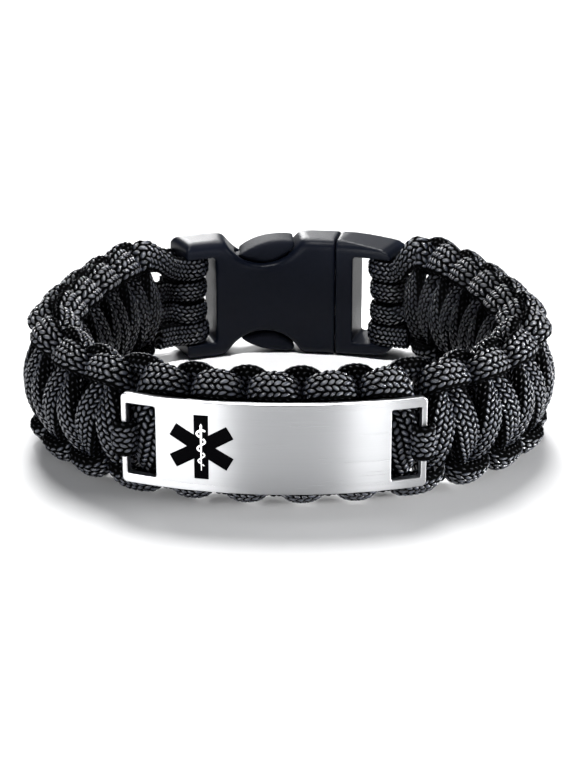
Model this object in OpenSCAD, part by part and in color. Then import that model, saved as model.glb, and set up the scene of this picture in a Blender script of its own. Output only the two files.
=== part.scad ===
// A knotted cord bracelet with a curved steel identity plate and a side-release buckle.
// It stands on its edge: Z runs across the band, the plate faces -Y, the buckle is at +Y.

/* [Cord and knots] */
// Width of a pressed strand, across its flat side
cord_w = 3.6; // [3:0.1:3.8]
// Thickness of a pressed strand
cord_t = 2.2; // [1.4:0.1:2.3]
// Room between two neighbouring strands at the middle line of the band
strand_gap = 0.55; // [0.5:0.05:1]
// Height of the band, across the knots
band_w = 22; // [20:0.5:26]
// Thickness of the band, from the wrist side to the outer side
band_t = 10.4; // [10:0.1:12]
// Width of one core cord
core_w = 3.6; // [3:0.1:3.8]
// Thickness of one core cord
core_t = 2.4; // [1.6:0.1:2.6]
// Clearance kept between cords, and between a cord and what it goes round
cord_clear = 0.2; // [0.15:0.05:0.4]
// Least length of cord between the last knot and the middle of a buckle bar
end_run = 5.6; // [5.2:0.2:9]

/* [Loop seen from above] */
// Radius of the band's middle line behind the plate
front_r = 53; // [50:0.5:70]
// Radius at the two front corners
corner_r = 26.5; // [24:0.5:30]
// Radius along the two sides
side_r = 107; // [90:1:140]
// Radius of the buckle's own curve
buckle_r = 48; // [44:0.5:60]

/* [Identity plate] */
// Length of the plate, along its curved face
tag_len = 47.6; // [44:0.2:50]
// Height of the plate
tag_h = 14.4; // [13:0.2:17]
// Thickness of the plate
tag_t = 1.3; // [0.8:0.1:2]
// Radius of the plate's corners
tag_corner = 0.8; // [0.3:0.1:1.5]
// Width of the bar at each end of the plate
tag_bar = 0.9; // [0.8:0.05:1.5]
// Length of each slot, along the plate
tag_slot = 4.8; // [4:0.1:6]
// Height of each slot
tag_slot_h = 11.3; // [8:0.1:12]
// Radius of the slots' corners
tag_slot_r = 0.3; // [0.1:0.1:0.6]
// Place of the plate's middle along the band, to the right of the loop's middle
tag_shift = -2.3; // [-3:0.1:0]
// Extra room between the two crossings beside each end bar
bar_room = 2.3; // [1.6:0.1:3]
// Width of the cord loop that holds an end bar
loop_w = 5.6; // [4:0.1:7]
// Thickness of that loop
loop_t = 0.9; // [0.5:0.1:1.2]

/* [Star] */
// Distance from the middle of the plate to the middle of the star
star_shift = 10.8; // [8:0.1:13]
// Span of the star, from tip to tip
star_span = 10.2; // [8:0.1:11]
// Width of one arm of the star
star_arm = 2.2; // [1.6:0.1:2.6]
// Depth of the star's enamel
enamel_t = 0.3; // [0.2:0.05:0.5]
// Gap round the enamel, and behind it
enamel_gap = 0.03; // [0.02:0.01:0.1]
// Thickness of the staff
staff_w = 0.34; // [0.25:0.01:0.4]
// Thickness of the snake
snake_w = 0.42; // [0.3:0.01:0.5]
// Swing of the snake to each side at the top of the staff
snake_swing = 0.62; // [0.4:0.01:0.7]

/* [Buckle] */
// Length of the closed buckle, measured straight across
buckle_len = 40; // [38:0.5:44]
// Height of the buckle
buckle_h = 22; // [21:0.2:24]
// Thickness of the buckle
buckle_t = 8.4; // [7.5:0.1:10]
// Radius of the buckle's long edges
buckle_edge = 1.8; // [1:0.1:2.5]
// Height of the plug at its tapered end
plug_end_h = 19.4; // [18.6:0.2:20.8]
// Width of the bar that the cords go round
bar_w = 2.6; // [2.4:0.1:3]
// Thickness of that bar
bar_t = 3; // [2.6:0.1:3.6]
// Radius of its long edges
bar_edge = 1.2; // [1.1:0.02:1.2]
// Radius of the corners at the two ends of the buckle, seen from the back
end_corner = 1.6; // [1:0.1:2]
// Length of the cord slot in the socket
socket_slot = 3.5; // [3.2:0.1:4]
// Length of the cord slot in the plug
plug_slot = 5.3; // [4:0.1:5.5]
// Height of both slots
slot_h = 16.2; // [16:0.1:17]
// Distance of the seam between the halves from the middle of the buckle
seam_x = 9.1; // [8:0.1:9.6]
// Play between the two halves
play = 0.2; // [0.1:0.05:0.4]
// Length of each finger cut, along the buckle
cut_len = 14; // [13:0.5:15]
// Depth of each finger cut
cut_deep = 4.6; // [4:0.1:5]
// Distance of the finger cuts from the middle of the buckle, towards the socket's end
cut_shift = 5; // [4:0.1:6]
// Height of the hollow in the socket
hollow_h = 15.6; // [14:0.1:16.4]
// Thickness of the hollow in the socket
hollow_t = 4; // [3:0.1:4.6]
// Wall of the socket between its cord slot and its hollow
hollow_wall = 2.5; // [2:0.1:3.5]
// Height of each prong
prong_h = 2.4; // [2:0.1:3]
// Gap between the tips of the prongs and the end of the hollow
prong_gap = 1; // [0.5:0.1:2]
// Radius of the prongs' buttons, seen from the back
button_r = 6; // [5.6:0.1:6.4]
// Distance of the buttons from the middle of the finger cuts, towards the seam
button_shift = 2.2; // [1:0.1:3]
// Thickness of the buttons
button_t = 6.6; // [5:0.1:7.4]
// Radius of the buttons' edges
button_edge = 0.8; // [0.5:0.1:1.2]
// Height of the guide between the prongs
guide_h = 3; // [2:0.1:4]
// Distance of the guide's end from the middle of the buckle
guide_end = 0.5; // [-2:0.5:2]
// How far the prongs and the guide reach into the plug's body
plug_root = 1.5; // [1:0.1:2]
// Distance from the seam at which the plug begins to taper
taper_start = 1.5; // [1:0.1:4]

/* [Hidden] */
$fn = 48;

// The loop of the band, as arcs from the front to the back of one half.
// Each row: the heading at the start of the arc, and its radius. The heel closes the loop.
front_end = 24.5;
corner_end = 100;
side_end = 115;
buckle_half = asin(buckle_len / 2 / buckle_r);
heel_end = 180 - buckle_half;
heel_r = (front_r * sin(front_end) + corner_r * (sin(corner_end) - sin(front_end))
          + side_r * (sin(side_end) - sin(corner_end)) - buckle_r * sin(buckle_half))
         / (sin(side_end) - sin(heel_end));
heading = [0, front_end, corner_end, side_end, heel_end, 180];
radius = [front_r, corner_r, side_r, heel_r, buckle_r];
arcs = len(radius);
function arc_len(i) = radius[i] * (heading[i + 1] - heading[i]) * PI / 180;
function start_s(i) = i == 0 ? 0 : start_s(i - 1) + arc_len(i - 1);
function start_p(i) = i == 0 ? [0, 0] : start_p(i - 1) + radius[i - 1]
    * [sin(heading[i]) - sin(heading[i - 1]), cos(heading[i - 1]) - cos(heading[i])];
starts_s = [for (i = [0:arcs]) start_s(i)];
starts_p = [for (i = [0:arcs]) start_p(i)];
half_loop = starts_s[arcs];
loop_depth = starts_p[arcs][1];

// Everything on the band is laid out on a straight band first: s along it from the middle of the
// front, v across it, w outward from its middle. bend() carries such a point to its place.
function arc_at(s, i = 0) = i == arcs - 1 || s < starts_s[i + 1] ? i : arc_at(s, i + 1);
function bend_half(s, v, w, i) =
    let (a = heading[i] + (s - starts_s[i]) / radius[i] * 180 / PI,
         c = starts_p[i] + radius[i] * [-sin(heading[i]), cos(heading[i])])
    [c[0] + (radius[i] + w) * sin(a), c[1] - (radius[i] + w) * cos(a), v];
function bend(p) =
    let (q = bend_half(abs(p[0]), p[1], p[2], arc_at(abs(p[0]))))
    [p[0] < 0 ? -q[0] : q[0], q[1] - plan_mid, q[2] + mid_z];
mid_z = max(band_w, buckle_h) / 2;
tag_in = band_t / 2 + cord_clear;
plan_mid = (loop_depth + buckle_t / 2 - tag_in - tag_t) / 2;

// The knots. Two strands cross the core in turn, one always on the outer side and one always on
// the wrist side, and each makes a side loop round the other.
knot_pitch = cord_w + strand_gap;
knot_reach = (band_w - cord_w) / 2;
knot_lift = (band_t - cord_t) / 2;
// Shares of the pitch, the reach and the lift that shape one half-knot, as terms of a wave
along_share = [0.49, 0.02, -0.02];
across_share = [1.11, 0.11];
lift_share = [-0.06, 0.9, 0.16];
// How strongly a strand lies flat on the face, rather than against the edge, of the band, and how
// far it turns on its side where it dives between its neighbours
face_lean = 7.8;
dive_turn = 4.5;
// Share of its thickness that a strand loses where it dives
pinch = 0.15;

// Lengths on the plate's face are turned to lengths on the band's middle line by face_share
tag_face_r = front_r + tag_in + tag_t;
face_share = front_r / tag_face_r;
bar_mid = (tag_len - tag_bar) / 2 * face_share;
// The bars of the plate lie between two crossings, which are set further apart there
tag_knots = 2 * round(bar_mid / knot_pitch);
function ease(x) = x <= 0 ? 0 : x >= 1 ? 1 : x * x * (3 - 2 * x);
function spread(u) = u + sign(u) * bar_room * ease((abs(u) / knot_pitch - tag_knots / 2) / 0.7 + 0.5)
    + tag_shift;

buckle_end = half_loop - buckle_r * buckle_half * PI / 180;
bar_s = buckle_end + bar_w / 2;
knots_left = floor((bar_s - end_run + tag_shift - bar_room) / knot_pitch + 0.5);
knots_right = floor((bar_s - end_run - tag_shift - bar_room) / knot_pitch + 0.5);

function knot_point(t) = [
    spread(knot_pitch * (t + 0.5 - along_share[0] * sin(360 * t) - along_share[1] * sin(720 * t)
                         - along_share[2] * sin(1080 * t))),
    knot_reach * (across_share[0] * sin(180 * t) + across_share[1] * sin(540 * t)),
    knot_lift * (lift_share[0] + lift_share[1] * cos(360 * t) + lift_share[2] * cos(720 * t))];
// A ring of a strand: its middle, the direction that its flat side faces, and its share of the
// strand's thickness
function knot_ring(t) = let (p = knot_point(t), dive = sin(360 * t))
    [p, [-dive_turn * dive * abs(dive), p[1] / face_lean, p[2]], 1 - pinch * dive * dive];
// Where rings stand in one half-knot
ring_stops = [0, 0.14, 0.22, 0.3, 0.4, 0.5, 0.6, 0.7, 0.78, 0.86];
last_ring = 0.4;
knot_rings = [for (k = [-knots_left:knots_right - 2]) for (d = ring_stops) knot_ring(k + d)];
first_rings = [for (d = [last_ring, 0.3, 0.22, 0.14]) knot_ring(-knots_left - d)];
end_rings = [for (d = [0, 0.14, 0.22, 0.3, last_ring]) knot_ring(knots_right - 1 + d)];

// The turn of a cord round a buckle bar: end is -1 or 1, v its place in the slot, side the face
// that the cord comes from, and t the cord's thickness
wrap_step = slot_h / 4;
function wrap_r(t) = bar_w / 2 + cord_clear + t / 2;
function bar_side(t) = bar_t / 2 + cord_clear + t / 2;
function wrap_turn(end, v, side, t) = [for (a = [-90:30:90])
    [[end * (bar_s + wrap_r(t) * cos(a)), v, side * bar_side(t) * sin(-a)],
     [end * cos(a), 0, side * sin(-a)], 1]];
function strand_wrap(end, from, side) =
    let (v = sign(from[1]) * 1.5 * wrap_step, s = abs(from[0]), gap = bar_s - s)
    concat([[[end * (s + 0.3 * gap), 0.55 * from[1] + 0.45 * v, side * 1.2 * bar_side(cord_t)],
             [0, 0, side], 1],
            [[end * (s + 0.62 * gap), v, side * bar_side(cord_t)], [0, 0, side], 1]],
           wrap_turn(end, v, side, cord_t),
           [[[end * (bar_s - 0.45 * gap), v, -side * (bar_side(cord_t) + 0.1)], [0, 0, -side], 1],
            [[end * (bar_s - 0.8 * gap), v, -side * bar_side(cord_t)], [0, 0, -side], 1]]);
function core_wrap(end, last_s, v, side) =
    let (wv = sign(v) * 0.5 * wrap_step, gap = bar_s - last_s)
    concat([[[end * last_s, v, 0], [0, 0, side], 1],
            [[end * (last_s + 0.4 * gap), v, side * 0.1 * bar_side(core_t)], [0, 0, side], 1],
            [[end * (last_s + 0.7 * gap), wv, side * 0.95 * bar_side(core_t)], [0, 0, side], 1]],
           wrap_turn(end, wv, side, core_t),
           [[[end * (bar_s - 0.3 * gap), wv, -side * bar_side(core_t)], [0, 0, -side], 1],
            [[end * (bar_s - 0.55 * gap), wv, -side * 0.9 * bar_side(core_t)], [0, 0, -side], 1]]);

function backward(list) = [for (i = [len(list) - 1:-1:0]) list[i]];
function flip(ring) = [[ring[0][0], -ring[0][1], -ring[0][2]], [ring[1][0], -ring[1][1], -ring[1][2]],
                       ring[2]];
strand = let (all = concat(first_rings, knot_rings, end_rings))
    concat(backward(strand_wrap(-1, all[0][0], -1)), all, strand_wrap(1, all[len(all) - 1][0], -1));

// The flat six-sided section of a cord, as shares of its half width and half thickness
section = [[1, 0], [0.55, 1], [-0.55, 1], [-1, 0], [-0.55, -1], [0.55, -1]];
sides = len(section);
function unit(a) = a / norm(a);
function ring_points(rings, i, w, t) =
    let (here = rings[i][0], n = len(rings) - 1,
         along = unit(rings[min(i + 1, n)][0] - rings[max(i - 1, 0)][0]),
         out = rings[i][1], up = unit(out - (out * along) * along), across = cross(along, up))
    [for (c = section) bend(here + c[0] * w / 2 * across + c[1] * rings[i][2] * t / 2 * up)];

// A cord is one closed tube through its rings
module cord(rings, w, t) {
    n = len(rings);
    points = [for (i = [0:n - 1]) each ring_points(rings, i, w, t)];
    walls = [for (i = [0:n - 2]) for (j = [0:sides - 1])
        let (a = i * sides + j, b = i * sides + (j + 1) % sides)
        each [[a, b, b + sides], [a, b + sides, a + sides]]];
    caps = [[for (j = [sides - 1:-1:0]) j], [for (j = [0:sides - 1]) (n - 1) * sides + j]];
    polyhedron(points = points, faces = concat(walls, caps));
}

module outer_cord() {
    color("#23242a") cord(strand, cord_w, cord_t);
}

module inner_cord() {
    color("#1c1d22") cord([for (r = strand) flip(r)], cord_w, cord_t);
}

// The two core cords lie side by side through all the knots
core_v = (core_w + cord_clear) / 2;
core_last = bar_s - end_run;
core_step = 4;
core_count = 2 * floor(core_last / core_step);
function core_rings(v) = concat(
    backward(core_wrap(-1, core_last, v, -1)),
    [for (i = [1:core_count - 1]) [[core_last * (2 * i / core_count - 1), v, 0], [0, 0, -1], 1]],
    core_wrap(1, core_last, v, -1));

module core_cord_upper() {
    color("#2a2b31") cord(core_rings(core_v), core_w, core_t);
}

module core_cord_lower() {
    color("#2a2b31") cord(core_rings(-core_v), core_w, core_t);
}

// A flat loop of cord holds each end bar of the plate. It lies over the bar, with its short leg in
// the slot, on the strand below, and its long leg down outside the bar towards the core.
loop_side = tag_bar * face_share / 2 + cord_clear + loop_t / 2;
loop_top = tag_in + tag_t + cord_clear + loop_t / 2;
loop_foot = core_t / 2 + 4 * cord_clear;
loop_seat = band_t / 2 + 2 * cord_clear;
// Each row: place across the bar as a share of loop_side, height as a share of the leg, and the
// direction that the loop's flat side faces
loop_shape = [[-1, 0, -1, 0.2], [-1, 0.55, -1, 0.6], [-0.6, 1, -0.3, 1], [0.6, 1, 0.3, 1],
              [1, 0.86, 1, 0.6], [1.05, 0.5, 1, 0], [1.1, 0, 1, 0]];
function loop_rings(end) = [for (r = loop_shape)
    let (foot = r[0] < 0 ? loop_seat : loop_foot)
    [[tag_shift + end * (bar_mid + r[0] * loop_side), 0, foot + r[1] * (loop_top - foot)],
     [end * r[2], 0, r[3]], 1]];

module tag_loop_left() {
    color("#2a2b31") cord(loop_rings(-1), loop_w, loop_t);
}

module tag_loop_right() {
    color("#2a2b31") cord(loop_rings(1), loop_w, loop_t);
}

// Blocks that follow the band's curve near the plate and near the buckle.
// s0 to s1 along the curve, w0 to w1 outward, v0 to v1 across.
module front_block(s0, s1, w0, w1, v0, v1) {
    deg = 180 / PI / front_r;
    translate([0, front_r - plan_mid, mid_z])
        rotate([0, 0, s0 * deg - 90])
            rotate_extrude(angle = (s1 - s0) * deg, $fn = 180)
                translate([front_r + w0, v0])
                    square([w1 - w0, v1 - v0]);
}

// Turns a flat outline, x along the band and y across it, to stand through the front at s
module through_front(s) {
    translate([0, front_r - plan_mid, mid_z])
        rotate([0, 0, s / front_r * 180 / PI])
            translate([0, -front_r / 2, 0])
                rotate([90, 0, 0])
                    linear_extrude(front_r)
                        children();
}

// The points of a rectangle with round corners
corner_steps = 5;
function rounded_points(length, height, r) = [for (q = [0:3]) for (k = [0:corner_steps])
    let (x = q == 0 || q == 3 ? 1 : -1, y = q < 2 ? 1 : -1, a = 90 * (q + k / corner_steps))
    [x * (length / 2 - r) + r * cos(a), y * (height / 2 - r) + r * sin(a)]];

// The points of what is cut off a corner to round it. The corner is at the origin, and what
// stays lies towards -x and -y, or is mirrored by the signs x and y.
function corner_points(x, y, r) = concat(
    [for (k = [0:corner_steps]) let (a = 90 * k / corner_steps) [x * r * (sin(a) - 1), y * r * (cos(a) - 1)]],
    [[x * r, -y * r], [x * r, y * r], [-x * r, y * r]]);

// The staff stands in the middle of the star, and the snake winds round it, closer towards its tail
staff_h = 0.76 * star_span;
snake_turns = 2.25;
snake_steps = 36;
function snake_mid(q) = [snake_swing * (1 - 0.62 * q) * cos(360 * snake_turns * q),
                         staff_h * (0.4 - 0.72 * q)];
function snake_edge(q, half) = let (d = snake_mid(q + 0.001) - snake_mid(q - 0.001))
    snake_mid(q) + half * [-d[1], d[0]] / norm(d);
function snake_half(q) = snake_w / 2 * (1 - 0.5 * q * q);
function snake_points(grow) = concat(
    [for (i = [0:snake_steps]) let (q = i / snake_steps) snake_edge(q, snake_half(q) + grow)],
    [for (i = [snake_steps:-1:0]) let (q = i / snake_steps) snake_edge(q, -snake_half(q) - grow)]);

// A slice of the plate's left half, from depth w0 to depth w1 under its face, in the star's outline
module star_slice(w0, w1, grow) {
    intersection() {
        front_block(tag_shift - tag_len / 2, tag_shift, tag_in + tag_t - w1, tag_in + tag_t - w0,
                    -tag_h / 2, tag_h / 2);
        for (a = [0:60:120])
            through_front(tag_shift - star_shift * face_share)
                rotate(a)
                    square([star_arm + 2 * grow, star_span + 2 * grow], center = true);
    }
}

module sign_slice(w0, w1, grow) {
    intersection() {
        front_block(tag_shift - tag_len / 2, tag_shift, tag_in + tag_t - w1, tag_in + tag_t - w0,
                    -tag_h / 2, tag_h / 2);
        union() {
            through_front(tag_shift - star_shift * face_share)
                polygon(rounded_points(staff_w + 2 * grow, staff_h + 2 * grow, 0.4 * staff_w));
            through_front(tag_shift - star_shift * face_share)
                polygon(snake_points(grow));
        }
    }
}

module identity_plate() {
    half = tag_len / 2 * face_share;
    slot_mid = half - (tag_bar + tag_slot / 2) * face_share;
    color("#c9ccd0")
        difference() {
            front_block(tag_shift - half, tag_shift + half, tag_in, tag_in + tag_t, -tag_h / 2, tag_h / 2);
            for (x = [-1, 1]) {
                through_front(tag_shift + x * slot_mid)
                    polygon(rounded_points(tag_slot, tag_slot_h, tag_slot_r));
                for (y = [-1, 1])
                    through_front(tag_shift + x * half)
                        translate([0, y * tag_h / 2])
                            polygon(corner_points(x, y, tag_corner));
            }
            star_slice(-1, enamel_t + enamel_gap, enamel_gap);
        }
}

module enamel_star() {
    color("#08080a")
        difference() {
            star_slice(0, enamel_t, 0);
            sign_slice(-1, enamel_t / 2, enamel_gap);
        }
}

module staff_sign() {
    color("#d5d7da") sign_slice(0, enamel_t / 2 - enamel_gap, 0);
}

// The buckle is laid out by b along its curve from its middle, w outward and v across
buckle_end_b = buckle_r * buckle_half * PI / 180;
// How far a bar's ends run into the arms beside it
bar_root = 0.5;
function buckle_deg(b) = b / buckle_r * 180 / PI;

// A stretch of the buckle's curve, b0 to b1, with its section as a flat outline of w and v
module back_bend(b0, b1) {
    translate([0, loop_depth - buckle_r - plan_mid, mid_z])
        rotate([0, 0, 90 - buckle_deg(b1)])
            rotate_extrude(angle = buckle_deg(b1 - b0), $fn = 180)
                translate([buckle_r, 0])
                    children();
}

module back_block(b0, b1, w0, w1, v0, v1) {
    back_bend(b0, b1)
        translate([w0, v0])
            square([w1 - w0, v1 - v0]);
}

// Turns a flat outline, x along the buckle and y across it, to stand through the buckle's wall at b
module through_buckle(b) {
    translate([0, loop_depth - buckle_r - plan_mid, mid_z])
        rotate([0, 0, -buckle_deg(b)])
            translate([0, buckle_r + buckle_t, 0])
                rotate([90, 0, 0])
                    linear_extrude(2 * buckle_t)
                        children();
}

// Rounds the two corners of a half's end at b. x is the side of the half on which the end lies.
module end_corners(b, height, x, r) {
    for (y = [-1, 1])
        through_buckle(b)
            translate([0, y * height / 2])
                polygon(corner_points(x, y, r));
}

// The bar that the cords go round, b to its middle
module cord_bar(b) {
    translate([0, loop_depth - buckle_r - plan_mid, mid_z])
        rotate([0, 0, -buckle_deg(b)])
            translate([0, buckle_r, -slot_h / 2 - bar_root])
                linear_extrude(slot_h + 2 * bar_root)
                    polygon(rounded_points(bar_w, bar_t, bar_edge));
}

// A finger cut follows a circle of this radius, with its middle this far across
cut_r = (cut_len * cut_len / 4 + cut_deep * cut_deep) / (2 * cut_deep);
cut_v = buckle_h / 2 - cut_deep + cut_r;
module finger_cut(side, shrink) {
    through_buckle(-cut_shift)
        translate([0, side * cut_v])
            circle(cut_r - shrink, $fn = 96);
}

hollow_end = -buckle_end_b + bar_w + socket_slot + hollow_wall;
module buckle_socket() {
    color("#17181b") {
        difference() {
            back_bend(-buckle_end_b, seam_x)
                polygon(rounded_points(buckle_t, buckle_h, buckle_edge));
            back_block(-buckle_end_b - 1, -buckle_end_b + bar_w + socket_slot, -buckle_t, buckle_t,
                       -slot_h / 2, slot_h / 2);
            back_block(hollow_end, seam_x + 1, -hollow_t / 2, hollow_t / 2, -hollow_h / 2, hollow_h / 2);
            finger_cut(1, 0);
            finger_cut(-1, 0);
            end_corners(-buckle_end_b, buckle_h, -1, end_corner);
        }
        cord_bar(-buckle_end_b + bar_w / 2);
    }
}

// A prong runs into the socket's hollow, and its button fills part of a finger cut
module prong(side) {
    outer_v = hollow_h / 2 - play;
    inner_v = outer_v - prong_h;
    half_t = hollow_t / 2 - play;
    back_block(hollow_end + prong_gap, seam_x + plug_root, -half_t, half_t,
               side > 0 ? inner_v : -outer_v, side > 0 ? outer_v : -inner_v);
    intersection() {
        back_bend(-cut_shift - cut_len / 2, -cut_shift + cut_len / 2)
            polygon(rounded_points(button_t, buckle_h, button_edge));
        finger_cut(side, play);
        through_buckle(button_shift - cut_shift)
            translate([0, side * (buckle_h / 2 - button_r)])
                circle(button_r, $fn = 96);
    }
}

// What is cut off one edge of the plug, along a straight line from near the seam to the end
module plug_taper(side) {
    start_x = seam_x + play + taper_start - buckle_end_b;
    end_v = side * plug_end_h / 2;
    through_buckle(buckle_end_b)
        polygon([[start_x, side * buckle_h / 2], [0, end_v], [bar_w, end_v], [bar_w, side * buckle_h],
                 [start_x, side * buckle_h]]);
}

module buckle_plug() {
    start = seam_x + play;
    color("#17181b")
        union() {
            difference() {
                back_bend(start, buckle_end_b)
                    polygon(rounded_points(buckle_t, buckle_h, buckle_edge));
                back_block(buckle_end_b - bar_w - plug_slot, buckle_end_b + 1, -buckle_t, buckle_t,
                           -slot_h / 2, slot_h / 2);
                plug_taper(1);
                plug_taper(-1);
                end_corners(buckle_end_b, plug_end_h, 1, end_corner);
            }
            cord_bar(buckle_end_b - bar_w / 2);
            prong(1);
            prong(-1);
            back_block(guide_end, seam_x + plug_root, play - hollow_t / 2, hollow_t / 2 - play,
                       -guide_h / 2, guide_h / 2);
        }
}

outer_cord();
inner_cord();
core_cord_upper();
core_cord_lower();
tag_loop_left();
tag_loop_right();
identity_plate();
enamel_star();
staff_sign();
buckle_socket();
buckle_plug();
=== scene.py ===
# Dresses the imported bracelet: braided cords, a brushed steel plate with its star, and a moulded buckle.

from math import asin, cos, pi, radians, sin

import bmesh
import bpy
import numpy as np
from bpy.props import FloatProperty, FloatVectorProperty, IntProperty, PointerProperty
from mathutils import Matrix, Vector


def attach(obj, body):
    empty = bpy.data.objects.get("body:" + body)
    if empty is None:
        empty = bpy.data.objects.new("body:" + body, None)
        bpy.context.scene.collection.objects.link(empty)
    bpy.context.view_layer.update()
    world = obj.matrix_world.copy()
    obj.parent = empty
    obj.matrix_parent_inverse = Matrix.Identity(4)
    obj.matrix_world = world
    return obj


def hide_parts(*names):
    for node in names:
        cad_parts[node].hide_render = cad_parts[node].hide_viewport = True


bl_info = {
    "name": "Knotted cord bracelet",
    "version": (1, 0, 0),
    "blender": (4, 5, 0),
    "location": "View3D > Sidebar > Bracelet",
    "description": "Builds the cords, plate, star and buckle of a bracelet over its solid model",
    "category": "Object",
}

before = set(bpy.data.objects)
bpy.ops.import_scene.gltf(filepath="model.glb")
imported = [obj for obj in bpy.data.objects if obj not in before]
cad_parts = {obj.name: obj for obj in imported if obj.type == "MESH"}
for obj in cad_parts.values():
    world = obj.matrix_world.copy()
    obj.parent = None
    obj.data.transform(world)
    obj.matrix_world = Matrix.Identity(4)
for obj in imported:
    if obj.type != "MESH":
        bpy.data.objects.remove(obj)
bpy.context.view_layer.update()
MM = 0.001

# The loop of the band seen from above, as arcs from the middle of the front to the middle of the
# back: their radii in millimetres, and the headings at which they end. The heel closes the loop.
FRONT_R, CORNER_R, SIDE_R, BUCKLE_R = 53.0, 26.5, 107.0, 48.0
FRONT_END, CORNER_END, SIDE_END = radians(24.5), radians(100), radians(115)
BUCKLE_LEN = 40.0
BUCKLE_HALF = asin(BUCKLE_LEN / 2 / BUCKLE_R)
HEEL_END = pi - BUCKLE_HALF
HEEL_R = (FRONT_R * sin(FRONT_END) + CORNER_R * (sin(CORNER_END) - sin(FRONT_END))
          + SIDE_R * (sin(SIDE_END) - sin(CORNER_END)) - BUCKLE_R * sin(BUCKLE_HALF)) / (
              sin(SIDE_END) - sin(HEEL_END))
HEADING = np.array([0, FRONT_END, CORNER_END, SIDE_END, HEEL_END, pi])
RADIUS = np.array([FRONT_R, CORNER_R, SIDE_R, HEEL_R, BUCKLE_R])
ARC_START = np.concatenate([[0], np.cumsum(RADIUS * np.diff(HEADING))])
ARC_CENTRE = np.zeros((len(RADIUS), 2))
ARC_CENTRE[0] = 0, FRONT_R
for arc in range(1, len(RADIUS)):
    shift = RADIUS[arc - 1] - RADIUS[arc]
    ARC_CENTRE[arc] = ARC_CENTRE[arc - 1] + shift * np.array([sin(HEADING[arc]), -cos(HEADING[arc])])
HALF_LOOP = ARC_START[-1]
LOOP_DEPTH = ARC_CENTRE[-1][1] + BUCKLE_R

# The band, in millimetres. CLEAR is the room between pieces in the solid model.
BAND_W, BAND_T = 22.0, 10.4
MID_Z = BAND_W / 2
CLEAR = 0.2

# The plate, and the star, whose recess keeps its sharp edges for STAR_ROOM round it. A length on the
# plate's curved face is FACE_SHARE as long on the band's own line.
PLATE_LENGTH, PLATE_T, PLATE_BAR, PLATE_SHIFT = 47.6, 1.3, 0.9, -2.3
PLATE_IN = BAND_T / 2 + CLEAR
PLATE_FACE = PLATE_IN + PLATE_T
FACE_SHARE = FRONT_R / (FRONT_R + PLATE_IN + PLATE_T)
BAR_MID = (PLATE_LENGTH - PLATE_BAR) / 2 * FACE_SHARE
STAR_SPAN, STAR_ARM, STAR_OFF_MIDDLE, STAR_ROOM = 10.2, 2.2, 10.8, 0.3
STAR_S = PLATE_SHIFT - STAR_OFF_MIDDLE * FACE_SHARE
INLAY_DEPTH, STAR_PROUD, SIGN_PROUD = 0.2, 0.004, 0.03
FACET_STEP = 0.6

# The buckle: its thickness, its cord bars and slots, and its finger cuts, softened so far along and
# so deep. Then the plug's round buttons, the arc and the ends that they are drawn out to, and where
# their softening and their rougher surface end.
BUCKLE_T = 8.4
BAR_W, BAR_T, SLOT_H = 2.6, 3.0, 16.2
BAR_S = HALF_LOOP - BUCKLE_R * BUCKLE_HALF + BAR_W / 2
CUT_X, CUT_HALF, CUT_DEPTH = -5, 9.5, 6.6
CUT_FADE_ALONG, CUT_FADE_DOWN = 2.5, 1.5
BUTTON_R, BUTTON_X, BUTTON_UP, BUTTON_FADE = 6.0, -2.8, 5.0, 1.5
CROWN_R, CROWN_X, CROWN_TOP = 13.0, 1.4, 10.6
BUTTON_LEFT, BUTTON_RIGHT = 7.4, 3.9
BUTTON_SOFT, BUTTON_SOFT_FADE, BUTTON_END = 3, 2, 4
PLAN_MID = (LOOP_DEPTH + BUCKLE_T / 2 - PLATE_IN - PLATE_T) / 2

# The knots: their pitch, the room that they leave beside the plate's end bars and before the
# buckle's bars, how many there are, and by what part of one a strand starts early and stops early
KNOT_PITCH, BAR_ROOM, LEFT_ROOM, END_RUN = 4.15, 2.3, 1.4, 5.6
BAR_KNOTS, BAR_PASS = 2 * round(BAR_MID / KNOT_PITCH), 0.7
KNOTS_LEFT = int(np.floor((BAR_S - END_RUN + PLATE_SHIFT - BAR_ROOM) / KNOT_PITCH + 0.5))
KNOTS_RIGHT = int(np.floor((BAR_S - END_RUN - PLATE_SHIFT - BAR_ROOM) / KNOT_PITCH + 0.5))
STEPS_PER_KNOT, FIRST_PART, LAST_PART = 20, 0.4, 0.6

# The core cords of the solid model, and the turns round a buckle bar: their spacing and thickness
CORE_W, CORE_STEP = 3.6, 3
WRAP_STEP, WRAP_T = SLOT_H / 4, 2.35

# The dressed band is fuller than the solid one: its thickness over two strands, the part of its width
# that their routes leave free, and its swelling away from the plate, which sets in at SIDE_START
FULL_T, EDGE_INSET = 10.8, 5.0
SIDE_START, SIDE_RUN = 36.0, 14.0
SWELL_UP, SWELL_OUT, SWELL_STOP, SWELL_FADE = 0.12, 0.8, BAR_S - 0.5, 5

# A knotted strand as waves, in shares of the pitch, of its reach across and of its lift off the core
BACK_WAVES = (0.42, 0.02, 0.02)
REACH_WAVES = (1.11, 0.11)
LIFT_WAVES = (0.78, 0.22)
SIDE_REACH = 0.04
LEAN_BACK, LEAN_ACROSS = 4.5, 4.0

# How thin and how wide a knotted strand is, in shares of its free thickness and width: where it
# dives, on the band's faces, at its edges and sides, beside the plate's bars and near the buckle
DIVE_THIN, EDGE_THIN = 0.22, 0.06
FACE_WIDE, EDGE_WIDE, SIDE_WIDE = 0.91, 0.27, 0.2
BAR_WIDE, BAR_EDGE, BAR_SPREAD = 0.56, 0.3, 3
BUCKLE_WIDE, BUCKLE_NEAR, BUCKLE_RUN = 0.2, 22, 12
EDGE_POWER, SIDE_POWER = 6, 2

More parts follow.
